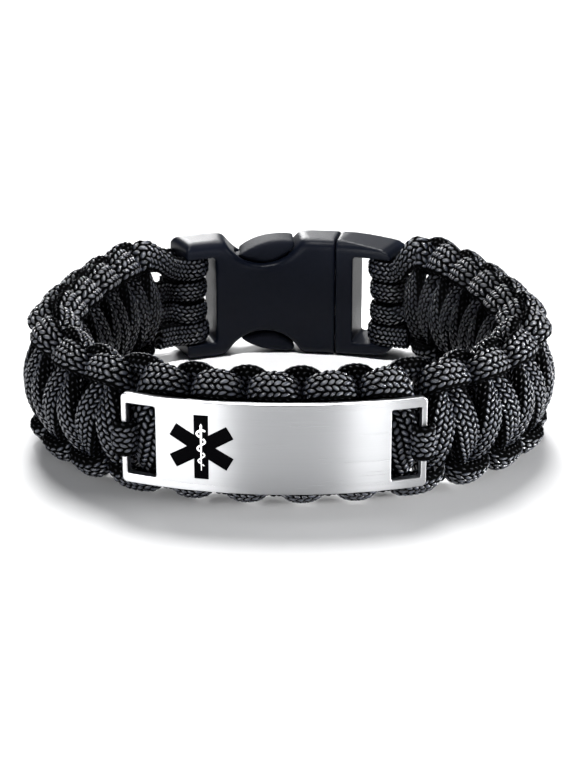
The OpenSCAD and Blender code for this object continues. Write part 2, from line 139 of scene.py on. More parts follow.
# The braid's picks, in shares of a pick's own column and length
PICK_SLANT = 0.55
PICK_HALF_WIDTH = 0.46
PICK_HALF_LENGTH = 0.44
PICK_MIDDLE = 0.6
YARNS_PER_PICK = 6

# A cord's mesh: its points in each pick, how square its section is, the steps that measure that
# section, and the lengths in mm over which its route is smoothed and its underside is pressed flat
POINTS_PER_PICK = 3
RINGS_PER_PICK = 3
CORD_SQUARENESS, LOOP_SQUARENESS = 2.5, 2.6
SECTION_STEPS = 1440
BLEND_REACH = 0.9
SQUASH = 0.5

# The star's sign: the staff from top to tip, and the snake round it
STAFF_TOP, STAFF_HALF, STAFF_TAPER, STAFF_CAP = 3.76, 0.19, 0.75, 0.03
SNAKE_TOP, SNAKE_SWING, SNAKE_DRAW_IN = 2.78, 0.7, 0.1
SNAKE_DROP, SNAKE_TIGHTEN = 2.65, 0.19
SNAKE_HALF, SNAKE_TAPER = 0.16, 0.03
SNAKE_PARTS = ((-0.2, 0.45), (0.57, 1.45), (1.57, 2.45), (2.57, 2.72))
RIBBON_POINTS = 25

# The photograph's viewpoint: focal length in its pixels, its height, and the camera's place and aim
FOCAL_PIXELS, PHOTO_HEIGHT, SENSOR = 2138, 768, 36
CAMERA_PLACE = (-0.66 * MM, -338.9 * MM, 128.8 * MM)
CAMERA_DOWN, CAMERA_TURN = 19.85, -0.08


def bend(straight):
    """Carries points of the straight band (along, across, outward) in mm to their place in metres."""
    s, v, w = straight[..., 0], straight[..., 1], straight[..., 2]
    arc = np.clip(np.searchsorted(ARC_START, np.abs(s), side="right") - 1, 0, len(RADIUS) - 1)
    angle = HEADING[arc] + (np.abs(s) - ARC_START[arc]) / RADIUS[arc]
    x = ARC_CENTRE[arc, 0] + (RADIUS[arc] + w) * np.sin(angle)
    y = ARC_CENTRE[arc, 1] - (RADIUS[arc] + w) * np.cos(angle)
    return MM * np.stack([np.where(s < 0, -x, x), y - PLAN_MID, v + MID_Z], axis=-1)


def ease(x):
    x = np.clip(x, 0, 1)
    return x * x * (3 - 2 * x)


def spread(u):
    """Sets the two crossings beside each end bar of the plate further apart, as full strands allow."""
    past_bar = ease((np.abs(u) / KNOT_PITCH - BAR_KNOTS / 2) / BAR_PASS + 0.5)
    return u + np.sign(u) * LEFT_ROOM * past_bar + PLATE_SHIFT


# A route is an array of rows: place on the straight band (3), direction that the cord's flat side
# faces (3), and shares of the cord's thickness and width (2).

def knot_route(reach, lift):
    """The route of one strand through all the knots, from its reach across and its lift in mm."""
    first = STEPS_PER_KNOT * (-KNOTS_LEFT - FIRST_PART)
    last = STEPS_PER_KNOT * (KNOTS_RIGHT - LAST_PART)
    t = np.arange(first, last + 0.5) / STEPS_PER_KNOT
    turn = 2 * pi * t
    dive = np.sin(turn)
    back = BACK_WAVES[0] * dive + BACK_WAVES[1] * np.sin(2 * turn) - BACK_WAVES[2] * np.sin(3 * turn)
    along = spread(KNOT_PITCH * (t + 0.5 - back))
    side = ease((np.abs(along) - SIDE_START) / SIDE_RUN)
    wave = REACH_WAVES[0] * np.sin(turn / 2) + REACH_WAVES[1] * np.sin(1.5 * turn)
    across = (1 + SIDE_REACH * side) * reach * wave
    out = lift * (LIFT_WAVES[0] * np.cos(turn) + LIFT_WAVES[1] * np.cos(2 * turn))
    lean = [-LEAN_BACK * dive * np.abs(dive), across / LEAN_ACROSS, out]
    edge = np.abs(np.sin(turn / 2)) ** (EDGE_POWER - SIDE_POWER * side)
    beside_bar = np.exp(-((np.abs(along - PLATE_SHIFT) - BAR_MID) / BAR_SPREAD) ** 2)
    near_buckle = ease((np.abs(along) - BAR_S + BUCKLE_NEAR) / BUCKLE_RUN)
    thin = 1 - DIVE_THIN * dive * dive - EDGE_THIN * edge
    wide = (FACE_WIDE + (EDGE_WIDE + SIDE_WIDE * side) * edge
            + (BAR_WIDE - BAR_EDGE * edge) * beside_bar + BUCKLE_WIDE * near_buckle)
    return np.stack([along, across, out, *lean, thin, wide], axis=-1)


def row(place, faces, thin=1.0, wide=1.0):
    return [*place, *faces, thin, wide]


def bar_turn(end, v, side, slack):
    """Half a turn round a buckle bar, in steps of 30 degrees."""
    radius = BAR_W / 2 + CLEAR + WRAP_T / 2 + slack
    height = BAR_T / 2 + CLEAR + WRAP_T / 2 + slack
    angles = [radians(a) for a in range(-90, 91, 30)]
    return [row([end * (BAR_S + radius * cos(a)), v, -side * height * sin(a)],
                [end * cos(a), 0, -side * sin(a)]) for a in angles]


def strand_wrap(end, last, side, slack, sway):
    """A knotted strand's way from its last knot round the buckle bar and back under the knots."""
    s, v_from = abs(last[0]), last[1]
    v = np.sign(v_from) * 1.5 * WRAP_STEP + sway
    gap = BAR_S - s
    height = BAR_T / 2 + CLEAR + WRAP_T / 2 + slack
    return [row([end * (s + 0.3 * gap), 0.55 * v_from + 0.45 * v, side * 1.2 * height], [0, 0, side]),
            row([end * (s + 0.62 * gap), v, side * height], [0, 0, side]),
            *bar_turn(end, v, side, slack),
            row([end * (BAR_S - 0.45 * gap), v, -side * (height + 0.1)], [0, 0, -side]),
            row([end * (BAR_S - 0.8 * gap), v, -side * height], [0, 0, -side])]


def core_wrap(end, last_s, v, side, slack, sway):
    """A core cord's way from the knots round the buckle bar and back."""
    gap = BAR_S - last_s
    height = BAR_T / 2 + CLEAR + WRAP_T / 2 + slack
    wrap_v = np.sign(v) * 0.5 * WRAP_STEP + sway
    return [row([end * last_s, v, 0], [0, 0, side]),
            row([end * (last_s + 0.4 * gap), v, side * 0.1 * height], [0, 0, side]),
            row([end * (last_s + 0.7 * gap), wrap_v, side * 0.95 * height], [0, 0, side]),
            *bar_turn(end, wrap_v, side, slack),
            row([end * (BAR_S - 0.3 * gap), wrap_v, -side * height], [0, 0, -side]),
            row([end * (BAR_S - 0.55 * gap), wrap_v, -side * 0.9 * height], [0, 0, -side])]


def flipped(route):
    """The other strand of the knot is the first one turned half round the band's own line."""
    return route * np.array([1, -1, -1, 1, -1, -1, 1, 1])


def swelled(route):
    """Lets the band stand fuller, outward and upward, at its sides and back, away from the plate."""
    s = np.abs(route[:, 0])
    full = ease((s - SIDE_START) / SIDE_RUN) * ease((SWELL_STOP - s) / SWELL_FADE)
    fuller = route.copy()
    fuller[:, 1] += SWELL_UP * full * np.maximum(route[:, 1], 0)
    fuller[:, 2] += SWELL_OUT * full
    return fuller


def fine_route(route, step):
    """A smooth route through the given rows, with its rows an even step apart along the cord."""
    keys = np.vstack([2 * route[0] - route[1], route, 2 * route[-1] - route[-2]])
    before, here, after, later = keys[:-3], keys[1:-2], keys[2:-1], keys[3:]
    parts = []
    for t in np.arange(0, 1, 0.1):
        parts.append(0.5 * (2 * here + (after - before) * t
                            + (2 * before - 5 * here + 4 * after - later) * t ** 2
                            + (3 * here - before - 3 * after + later) * t ** 3))
    dense = np.vstack([np.stack(parts, axis=1).reshape(-1, route.shape[1]), route[-1:]])
    length = np.concatenate([[0], np.cumsum(np.linalg.norm(np.diff(dense[:, :3], axis=0), axis=1))])
    count = int(round(length[-1] / step))
    places = np.linspace(0, length[-1], count + 1)
    even = np.stack([np.interp(places, length, column) for column in dense.T], axis=-1)
    reach = int(round(BLEND_REACH / step))
    weights = np.hanning(2 * reach + 3)[1:-1]
    padded = np.pad(even, ((reach, reach), (0, 0)), mode="reflect", reflect_type="odd")
    return np.stack([np.convolve(column, weights / weights.sum(), "valid") for column in padded.T], axis=-1)


def cord_section(wide, thick, squareness, columns):
    """Points round a cord's section at even steps along its outline, and the outward directions."""
    a = np.linspace(0, 2 * pi, SECTION_STEPS + 1)
    x = wide / 2 * np.sign(np.cos(a)) * np.abs(np.cos(a)) ** (2 / squareness)
    y = thick / 2 * np.sign(np.sin(a)) * np.abs(np.sin(a)) ** (2 / squareness)
    length = np.concatenate([[0], np.cumsum(np.hypot(np.diff(x), np.diff(y)))])
    even = np.linspace(0, length[-1], columns + 1)
    points = np.stack([np.interp(even, length, x), np.interp(even, length, y)], axis=-1)
    outward = points / np.array([wide, thick]) ** 2
    return points, outward / np.linalg.norm(outward, axis=1, keepdims=True)


def pick_height(around, along):
    """The height of the braid, as a share, at places counted in picks round and along the cord."""
    column = np.floor(around + 1e-6)
    odd = column % 2
    x = around - column - 0.5
    y = (along + 0.5 * odd + PICK_SLANT * (1 - 2 * odd) * x) % 1 - 0.5
    return np.sqrt(np.clip(1 - (x / PICK_HALF_WIDTH) ** 2 - (y / PICK_HALF_LENGTH) ** 2, 0, 1))


def pressed(across):
    """Flattens cords a little where they meet what the band stands on."""
    over = np.maximum(-across - (MID_Z - SQUASH), 0)
    return across + over - SQUASH * (1 - np.exp(-over / SQUASH))


def braided_tube(name, route, wide, thick, squareness, sizes, first_pick=0):
    """A closed tube of braided cord along a fine route, with a UV map counted in picks."""
    columns = sizes.picks_round * POINTS_PER_PICK
    rings = len(route) - 1
    bm = bmesh.new()
    bm.loops.layers.uv.new("braid")
    bmesh.ops.create_grid(bm, x_segments=columns, y_segments=rings, size=1, calc_uvs=True)
    mesh = bpy.data.meshes.new(name)
    bm.to_mesh(mesh)
    bm.free()
    flat = np.empty(3 * len(mesh.vertices))
    mesh.vertices.foreach_get("co", flat)
    flat = flat.reshape(-1, 3)
    column = np.rint((flat[:, 0] + 1) / 2 * columns).astype(int)
    ring = np.rint((flat[:, 1] + 1) / 2 * rings).astype(int)
    points, outward = cord_section(wide, thick, squareness, columns)
    along = np.gradient(route[:, :3], axis=0)
    along /= np.linalg.norm(along, axis=1, keepdims=True)
    faces = route[:, 3:6]
    up = faces - (faces * along).sum(axis=1, keepdims=True) * along
    up /= np.linalg.norm(up, axis=1, keepdims=True)
    across = np.cross(along, up)
    picks = column / POINTS_PER_PICK
    height = pick_height(picks, first_pick + ring / RINGS_PER_PICK) - PICK_MIDDLE
    height *= sizes.braid_relief / MM
    x = points[column, 0] * route[ring, 7] + height * outward[column, 0]
    y = points[column, 1] * route[ring, 6] + height * outward[column, 1]
    place = route[ring, :3] + x[:, None] * across[ring] + y[:, None] * up[ring]
    place[:, 1] = pressed(place[:, 1])
    mesh.vertices.foreach_set("co", bend(place).ravel())
    uv = np.empty(2 * len(mesh.loops))
    mesh.uv_layers["braid"].data.foreach_get("uv", uv)
    uv = uv.reshape(-1, 2) * [sizes.picks_round, rings / RINGS_PER_PICK] + [0, first_pick]
    mesh.uv_layers["braid"].data.foreach_set("uv", uv.ravel())
    bm = bmesh.new()
    bm.from_mesh(mesh)
    bmesh.ops.remove_doubles(bm, verts=bm.verts, dist=1e-6)
    bmesh.ops.holes_fill(bm, edges=bm.edges, sides=columns)
    bmesh.ops.recalc_face_normals(bm, faces=bm.faces)
    for face in bm.faces:
        face.smooth = len(face.verts) == 4
    bm.to_mesh(mesh)
    bm.free()
    return place_on_frame(name, mesh)


def place_on_frame(name, mesh):
    piece = bpy.data.objects.new(name, mesh)
    bpy.context.scene.collection.objects.link(piece)
    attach(piece, "root")
    return piece


def finish_piece(piece, node, material):
    """Hides the solid that a piece stands for, and gives the piece its material."""
    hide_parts(node)
    piece.data.materials.clear()
    piece.data.materials.append(material)


def merged_copy(node):
    """A copy of a solid's mesh with its loose triangles joined."""
    bm = bmesh.new()
    bm.from_mesh(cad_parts[node].data)
    bmesh.ops.remove_doubles(bm, verts=bm.verts, dist=1e-6)
    bmesh.ops.dissolve_limit(bm, angle_limit=radians(0.2), verts=bm.verts, edges=bm.edges)
    return bm


def evaluated_mesh(piece):
    """The mesh that a piece has after its modifiers, which are then taken off it."""
    depsgraph = bpy.context.evaluated_depsgraph_get()
    mesh = bpy.data.meshes.new_from_object(piece.evaluated_get(depsgraph))
    piece.modifiers.clear()
    piece.data = mesh


def soften(piece, name, strength, rounds):
    """Smooths a piece where strength, one number from 0 to 1 for each vertex, says so."""
    group = piece.vertex_groups.new(name=name)
    levels = np.rint(np.clip(strength, 0, 1) * 10).astype(int)
    for level in range(1, 11):
        group.add(np.flatnonzero(levels == level).tolist(), level / 10, "REPLACE")
    smooth = piece.modifiers.new(name, "SMOOTH")
    smooth.factor = 0.5
    smooth.iterations = rounds
    smooth.vertex_group = name


def on_plate_face(name, bm, proud):
    """Thickens flat faces drawn in mm from the star's middle and lays them on the plate's face."""
    bmesh.ops.recalc_face_normals(bm, faces=bm.faces)
    for vert in bm.verts:
        vert.co.z += proud
    raised = bmesh.ops.extrude_face_region(bm, geom=bm.faces[:])["geom"]
    lower = [item for item in raised if isinstance(item, bmesh.types.BMVert)]
    bmesh.ops.translate(bm, vec=(0, 0, -INLAY_DEPTH), verts=lower)
    bmesh.ops.recalc_face_normals(bm, faces=bm.faces)
    for vert in bm.verts:
        x, y, z = vert.co
        vert.co = bend(np.array([STAR_S + x * FACE_SHARE, y, PLATE_FACE + z]))
    mesh = bpy.data.meshes.new(name)
    bm.to_mesh(mesh)
    bm.free()
    return mesh


def drawn_buttons(place):
    """Draws each round button of the plug out into a long low one that is highest near the seam."""
    x = place[:, 0] - BUTTON_X
    up = np.abs(place[:, 2] - MID_Z) - BUTTON_UP
    radius = np.maximum(np.hypot(x, up), 0.001)
    cosine, sine = x / radius, up / radius
    crown_up = CROWN_TOP - BUTTON_UP - CROWN_R
    middle = cosine * CROWN_X + sine * crown_up
    crown = middle + np.sqrt(middle ** 2 - CROWN_X ** 2 - crown_up ** 2 + CROWN_R ** 2)
    end = np.where(cosine < 0, BUTTON_LEFT, BUTTON_RIGHT) / np.maximum(np.abs(cosine), 0.01)
    stretch = np.minimum(crown, end) / BUTTON_R - 1
    stretch *= ease(up / BUTTON_FADE) * (radius < BUTTON_R + CLEAR)
    moved = place.copy()
    moved[:, 0] += x * stretch
    moved[:, 2] += np.sign(place[:, 2] - MID_Z) * up * stretch
    return moved


def round_normals(mesh):
    """Lets the two curved faces of the plate shade as the true cylinders that their facets follow."""
    axis = np.array([0, (FRONT_R - PLAN_MID) * MM])
    normals = np.empty(3 * len(mesh.loops))
    mesh.corner_normals.foreach_get("vector", normals)
    normals = normals.reshape(-1, 3)
    place = np.empty(3 * len(mesh.vertices))
    mesh.vertices.foreach_get("co", place)
    place = place.reshape(-1, 3)
    for face in mesh.polygons:
        for loop in face.loop_indices:
            out = place[mesh.loops[loop].vertex_index, :2] - axis
            out /= np.linalg.norm(out)
            facing = face.normal.x * out[0] + face.normal.y * out[1]
            if abs(facing) > 0.97:
                normals[loop] = np.sign(facing) * np.array([*out, 0])
    mesh.normals_split_custom_set(normals)


# Shader maths

class Value:
    """An output socket in a material. Arithmetic on values adds Math nodes."""

    def __init__(self, finish, socket):
        self.finish = finish
        self.socket = socket

    def math(self, operation, *values, **settings):
        return self.finish.node("ShaderNodeMath", {"operation": operation, **settings}, values)

    def __add__(self, other):
        return self.math("ADD", self, other)

    def __radd__(self, other):
        return self.math("ADD", other, self)

    def __sub__(self, other):
        return self.math("SUBTRACT", self, other)

    def __rsub__(self, other):
        return self.math("SUBTRACT", other, self)

    def __mul__(self, other):
        return self.math("MULTIPLY", self, other)

    def __rmul__(self, other):
        return self.math("MULTIPLY", other, self)

    def __truediv__(self, other):
        return self.math("DIVIDE", self, other)

    def __pow__(self, other):
        return self.math("POWER", self, other)

    def __mod__(self, other):
        return self.math("FLOORED_MODULO", self, other)

    def floor(self):
        return self.math("FLOOR", self)

    def sine(self):
        return self.math("SINE", self)

    def cosine(self):
        return self.math("COSINE", self)

    def clipped(self):
        return self.math("ADD", self, 0, use_clamp=True)

    def part(self, axis):
        return self.finish.node("ShaderNodeSeparateXYZ", {}, [self], axis)


class Finish:
    """A node material with one Principled shader, built up by node()."""

    def __init__(self, name, **constants):
        self.material = bpy.data.materials.new(name)
        self.material.use_nodes = True
        self.tree = self.material.node_tree
        self.shader = self.tree.nodes["Principled BSDF"]
        for key, value in constants.items():
            self.shader.inputs[key.replace("_", " ")].default_value = value

    def node(self, kind, settings, inputs, output=0):
        """Adds a node, sets it up, feeds its sockets by order or by name, and gives one output."""
        made = self.tree.nodes.new(kind)
        for key, value in settings.items():
            setattr(made, key, value)
        pairs = inputs.items() if isinstance(inputs, dict) else enumerate(inputs)
        for key, value in pairs:
            self.feed(made.inputs[key], value)
        return Value(self, made.outputs[output])

    def feed(self, socket, value):
        if isinstance(value, Value):
            self.tree.links.new(value.socket, socket)
        else:
            socket.default_value = value

    def mix(self, share, first, second):
        """A colour between two colours."""
        made = self.tree.nodes.new("ShaderNodeMix")
        made.data_type = "RGBA"
        self.feed(made.inputs["Factor"], share)
        self.feed(made.inputs[6], first)
        self.feed(made.inputs[7], second)
        return Value(self, made.outputs[2])

    def noise(self, scale, detail=2.0, stretch=(1, 1, 1), turn=(0, 0, 0)):
        """Noise on the object's own coordinates, with scale in waves per metre."""
        place = self.node("ShaderNodeTexCoord", {}, {}, "Object")
        place = self.node("ShaderNodeMapping", {}, {"Vector": place, "Scale": stretch, "Rotation": turn})
        return self.node("ShaderNodeTexNoise", {}, {"Vector": place, "Scale": scale, "Detail": detail})

    def bump(self, height, depth):
        """Feeds the shader's normal from a height in shares of a depth in metres."""
        normal = self.node("ShaderNodeBump", {}, {"Height": height, "Distance": depth}, "Normal")
        self.feed(self.shader.inputs["Normal"], normal)

    def mix_painted_shade(self, share):
        """Mixes in a black shader by the given share, as painted shade."""
        black = self.tree.nodes.new("ShaderNodeBsdfDiffuse")
        black.inputs["Color"].default_value = (0.001, 0.001, 0.001, 1)
        mixed = self.tree.nodes.new("ShaderNodeMixShader")
        self.feed(mixed.inputs["Fac"], share)
        self.tree.links.new(self.shader.outputs[0], mixed.inputs[1])
        self.tree.links.new(black.outputs[0], mixed.inputs[2])
        self.tree.links.new(mixed.outputs[0], self.tree.nodes["Material Output"].inputs["Surface"])

    def paint(self, **sockets):
        for key, value in sockets.items():
            self.feed(self.shader.inputs[key.replace("_", " ")], value)


def rgba(colour, share=1.0):
    return [channel * share for channel in colour] + [1.0]


def cord_finish(sizes):
    """Braided nylon: slanted picks in rows that alternate, each of a few fine yarns, with painted shade in
    the gaps between picks and along the cord's narrow sides.
    """
    finish = Finish("braided_nylon", Specular_IOR_Level=0.85)
    uv = finish.node("ShaderNodeUVMap", {"uv_map": "braid"}, {})
    around, along = uv.part("X"), uv.part("Y")
    column = around.floor()
    odd = column % 2
    x = around - column - 0.5
    slant = 1 - 2 * odd
    lean = along + 0.5 * odd + PICK_SLANT * slant * x
    pick = lean.floor()
    y = lean - pick - 0.5
    dome = (1 - (x / PICK_HALF_WIDTH) ** 2 - (y / PICK_HALF_LENGTH) ** 2).clipped() ** 0.5
    yarns = ((x - 0.3 * slant * y) * (2 * pi * YARNS_PER_PICK)).sine()
    seed = finish.node("ShaderNodeCombineXYZ", {}, [column % sizes.picks_round, pick])
    chance = finish.node("ShaderNodeTexWhiteNoise", {"noise_dimensions": "2D"}, {"Vector": seed})
    cloud = finish.noise(90, 2)
    # Painted shade: the colour falls to a tenth of the cord's own in the gaps between picks and rises on
    # the pick tops. The per-pick tone and the yarn lines are the cord's own.
    share = (dome * dome * (0.55 + 0.45 * chance) + 0.12 * yarns).clipped()
    colour = finish.mix(share, rgba(sizes.cord_colour, 0.1), rgba(sizes.cord_colour, 1.9))
    finish.paint(Base_Color=colour, Roughness=0.18 + 0.12 * chance + 0.1 * cloud)
    finish.bump(dome + 0.07 * yarns + 0.1 * chance, depth=0.0003)
    # Painted shade: black is mixed in between the picks and along the cord's two narrow sides, where it
    # meets the strands beside it.
    side = (around * (2 * pi / sizes.picks_round)).cosine()
    side_shade = ((side * side - 0.52) * 2.6).clipped()
    finish.mix_painted_shade((1.2 - 1.45 * dome + 1.0 * side_shade).clipped())
    return finish.material


def steel_finish(name, colour, roughness, depth):
    """Steel brushed along the plate's length, with fine lines of uneven strength."""
    finish = Finish(name, Metallic=1.0, Anisotropic=0.85, Anisotropic_Rotation=0.25)
    fine = finish.noise(1, 3, stretch=(60, 60, 8000))
    broad = finish.noise(1, 2, stretch=(16, 16, 1500))
    cloud = finish.noise(45, 2)
    lines = 0.6 * fine + 0.4 * broad
    shade = finish.mix((0.7 * lines + 0.3 * cloud).clipped(), rgba(colour, 0.86), rgba(colour, 1.06))
    finish.paint(Base_Color=shade, Roughness=roughness - 0.1 + 0.2 * lines)
    finish.bump(lines, depth)
    return finish.material


def enamel_finish(colour):
    """Black enamel, nearly flat, with a faint ripple and a few dull patches."""
    finish = Finish("black_enamel", Specular_IOR_Level=0.01)
    ripple = finish.noise(900, 2)
    cloud = finish.noise(260, 3)
    finish.paint(Base_Color=finish.mix(cloud, rgba(colour, 0.7), rgba(colour, 1.3)),
                 Roughness=0.3 + 0.16 * cloud)
    finish.bump(ripple, depth=0.00001)
    return finish.material


def plastic_finish(name, colour, button_end):
    """Moulded plastic with a fine grain. Left of button_end, in metres, it is rougher."""
    finish = Finish(name, Specular_IOR_Level=0.08)
    grain = finish.noise(4200, 3)
    cloud = finish.noise(120, 3)
    place = finish.node("ShaderNodeTexCoord", {}, {}, "Object")
    rough = ((button_end - place.part("X")) * 1500).clipped()
    finish.paint(Base_Color=finish.mix(cloud, rgba(colour, 0.8), rgba(colour, 1.25)),
                 Roughness=0.28 + 0.1 * grain + 0.1 * cloud + 0.25 * rough)
    finish.bump(grain * (1 + rough), depth=0.00003)
    return finish.material


def floor_finish(colour):
    """Pale studio board with a barely uneven shade."""
    finish = Finish("pale_board", Roughness=0.75)
    cloud = finish.noise(6, 2)
    finish.paint(Base_Color=finish.mix(cloud, rgba(colour, 0.985), rgba(colour, 1.0)))
    return finish.material


# Sizes and colours that a user would change

class CordSettings(bpy.types.PropertyGroup):
    strand_width: FloatProperty(
        name="Strand width", description="Width of a knotted strand across its flat side",
        default=0.0042, min=0.003, max=0.0046, unit="LENGTH", precision=5)
    strand_thickness: FloatProperty(
        name="Strand thickness", description="Thickness of a knotted strand",
        default=0.0033, min=0.0018, max=0.0036, unit="LENGTH", precision=5)
    core_width: FloatProperty(
        name="Core width", description="Width of a core cord", default=0.0039, min=0.003, max=0.0042,
        unit="LENGTH", precision=5)
    core_thickness: FloatProperty(
        name="Core thickness", description="Thickness of a core cord", default=0.0026, min=0.0016,
        max=0.003, unit="LENGTH", precision=5)
    loop_width: FloatProperty(
        name="Loop width", description="Width of the loops over the plate's end bars", default=0.0056,
        min=0.004, max=0.007, unit="LENGTH", precision=5)
    loop_thickness: FloatProperty(
        name="Loop thickness", description="Thickness of the loops over the plate's end bars",
        default=0.0011, min=0.0006, max=0.0014, unit="LENGTH", precision=5)
    pick_length: FloatProperty(
        name="Pick length", description="Length of one pick of the braid along a cord", default=0.00092,
        min=0.0008, max=0.002, unit="LENGTH", precision=5)
    picks_round: IntProperty(
        name="Picks round", description="Columns of picks round a cord, an even number", default=14,
        min=8, max=16, step=2)
    braid_relief: FloatProperty(
        name="Braid relief", description="Height of the picks above the gaps between them",
        default=0.00022, min=0, max=0.0004, unit="LENGTH", precision=5)
    cord_colour: FloatVectorProperty(
        name="Cord colour", description="Colour of the cords", default=(0.0175, 0.0205, 0.03), min=0, max=1,
        size=3, subtype="COLOR")


class PlateSettings(bpy.types.PropertyGroup):
    edge_round: FloatProperty(
        name="Edge rounding", description="Rounding of the plate's edges", default=0.00014, min=0.00002,
        max=0.0004, unit="LENGTH", precision=5)
    steel_colour: FloatVectorProperty(
        name="Steel colour", description="Colour of the plate", default=(0.405, 0.409, 0.418), min=0, max=1,
        size=3, subtype="COLOR")
    sign_colour: FloatVectorProperty(
        name="Sign colour", description="Colour of the staff and the snake", default=(0.9, 0.9, 0.91),
        min=0, max=1, size=3, subtype="COLOR")
    enamel_colour: FloatVectorProperty(
        name="Enamel colour", description="Colour of the star", default=(0.0006, 0.0006, 0.0009), min=0,
        max=1, size=3, subtype="COLOR")


class BuckleSettings(bpy.types.PropertyGroup):
    voxel: FloatProperty(
        name="Voxel size", description="Size of the cells that the moulded surface is made of",
        default=0.00026, min=0.0002, max=0.0006, unit="LENGTH", precision=5)
    edge_rounds: IntProperty(
        name="Edge softening", description="Rounds of smoothing on all edges", default=6, min=1, max=20)
    cut_rounds: IntProperty(
        name="Finger cut softening", description="Rounds of smoothing round the finger cuts", default=80,
        min=0, max=120)
    plastic_colour: FloatVectorProperty(
        name="Plastic colour", description="Colour of the buckle", default=(0.002, 0.003, 0.0065), min=0,
        max=1, size=3, subtype="COLOR")


class StageSettings(bpy.types.PropertyGroup):
    top_light: FloatProperty(
        name="Top light", description="Strength of the broad light overhead, in watts per square metre",
        default=4.2, min=0)
    inside_light: FloatProperty(
        name="Inside light", description="Power of the narrow light on the floor inside the loop",
        default=28.0, min=0, unit="POWER")
    back_light: FloatProperty(
        name="Back light", description="Power of the light behind", default=11.0, min=0, unit="POWER")
    left_light: FloatProperty(
        name="Left light", description="Power of the light at the front left", default=6.0, min=0,
        unit="POWER")
    right_light: FloatProperty(
        name="Right light", description="Power of the light at the front right", default=1.35, min=0,
        unit="POWER")
    side_light: FloatProperty(
        name="Side light", description="Power of the light at the right", default=15.0, min=0, unit="POWER")
    sky: FloatProperty(
        name="Sky light", description="Strength of the light from all round", default=0.08, min=0, max=4)
    floor_colour: FloatVectorProperty(
        name="Floor colour", description="Colour of the floor", default=(0.86, 0.86, 0.865), min=0, max=1,
        size=3, subtype="COLOR")


# Builders

def material_named(name, build, *values):
    """Builds a material once, and finds it again for the next piece that wears it."""
    return bpy.data.materials.get(name) or build(*values)


class BRACELET_OT_knots(bpy.types.Operator):
    """Build the two braided strands that are knotted round the core"""

    bl_idname = "bracelet.knots"
    bl_label = "Knotted strands"

    def execute(self, context):
        sizes = context.scene.bracelet_cord
        wide, thick = sizes.strand_width / MM, sizes.strand_thickness / MM
        step = sizes.pick_length / MM / RINGS_PER_PICK
        knots = knot_route((BAND_W - EDGE_INSET) / 2, (FULL_T - thick) / 2)
        material = material_named("braided_nylon", cord_finish, sizes)
        for name, node, turned in (("outer_strand", "outer_cord", False),
                                   ("inner_strand", "inner_cord", True)):
            sway = -0.12 if turned else 0.1
            left = strand_wrap(-1, knots[0], -1, slack=0.0, sway=sway)
            right = strand_wrap(1, knots[-1], -1, slack=0.12, sway=-2 * sway)
            route = np.vstack([np.array(left[::-1]), knots, np.array(right)])
            route = fine_route(swelled(flipped(route) if turned else route), step)
            half = int(np.argmax(route[:, 0] > PLATE_SHIFT))
            half -= half % RINGS_PER_PICK
            for side, part, first in (("left", route[:half + 1], 0),
                                      ("right", route[half:], half // RINGS_PER_PICK)):
                piece = braided_tube(f"{name}_{side}", part, wide, thick, CORD_SQUARENESS, sizes, first)
                finish_piece(piece, node, material)
        return {"FINISHED"}


class BRACELET_OT_cores(bpy.types.Operator):
    """Build the two straight cords inside the knots, with their turns round the buckle bars"""

    bl_idname = "bracelet.cores"
    bl_label = "Core cords"

    def execute(self, context):
        sizes = context.scene.bracelet_cord
        wide, thick = sizes.core_width / MM, sizes.core_thickness / MM
        step = sizes.pick_length / MM / RINGS_PER_PICK
        material = material_named("braided_nylon", cord_finish, sizes)
        last_s = BAR_S - END_RUN
        for name, sign in (("upper", 1), ("lower", -1)):
            v = sign * (CORE_W + CLEAR) / 2
            places = np.arange(-last_s + CORE_STEP, last_s - CORE_STEP + 0.1, CORE_STEP)
            straight = [row([s, v, 0], [0, 0, -1]) for s in places]
            left = core_wrap(-1, last_s, v, -1, slack=0.0, sway=0.08 * sign)
            right = core_wrap(1, last_s, v, -1, slack=0.1, sway=-0.25 + 0.1 * sign)
            route = fine_route(np.array(left[::-1] + straight + right), step)
            piece = braided_tube(f"{name}_core", route, wide, thick, CORD_SQUARENESS, sizes)
            finish_piece(piece, f"core_cord_{name}", material)
        return {"FINISHED"}


class BRACELET_OT_tag_loops(bpy.types.Operator):
    """Build the flat loops of cord that hold the plate's end bars"""

    bl_idname = "bracelet.tag_loops"
    bl_label = "Plate loops"

    def execute(self, context):
        sizes = context.scene.bracelet_cord
        wide, thick = sizes.loop_width / MM, sizes.loop_thickness / MM
        step = sizes.pick_length / MM / RINGS_PER_PICK
        material = material_named("braided_nylon", cord_finish, sizes)
        beside = PLATE_BAR * FACE_SHARE / 2 + CLEAR + thick / 2
        top = PLATE_FACE + CLEAR + thick / 2
        foot, seat = 2.0, BAND_T / 2 + 2 * CLEAR
        shape = [(-1, 0, -1, 0.2), (-1, 0.55, -1, 0.6), (-0.6, 1, -0.3, 1), (0.6, 1, 0.3, 1),
                 (1, 0.86, 1, 0.6), (1.05, 0.5, 1, 0), (1.1, 0, 1, 0)]
        for name, end in (("left", -1), ("right", 1)):
            rows = []
            for across, high, lean, up in shape:
                low = seat if across < 0 else foot
                along = PLATE_SHIFT + end * (BAR_MID + across * beside)
                rows.append(row([along, 0, low + high * (top - low)], [end * lean, 0, up]))
            route = fine_route(np.array(rows), step)
            piece = braided_tube(f"{name}_loop", route, wide, thick, LOOP_SQUARENESS, sizes)
            finish_piece(piece, f"tag_loop_{name}", material)
        return {"FINISHED"}


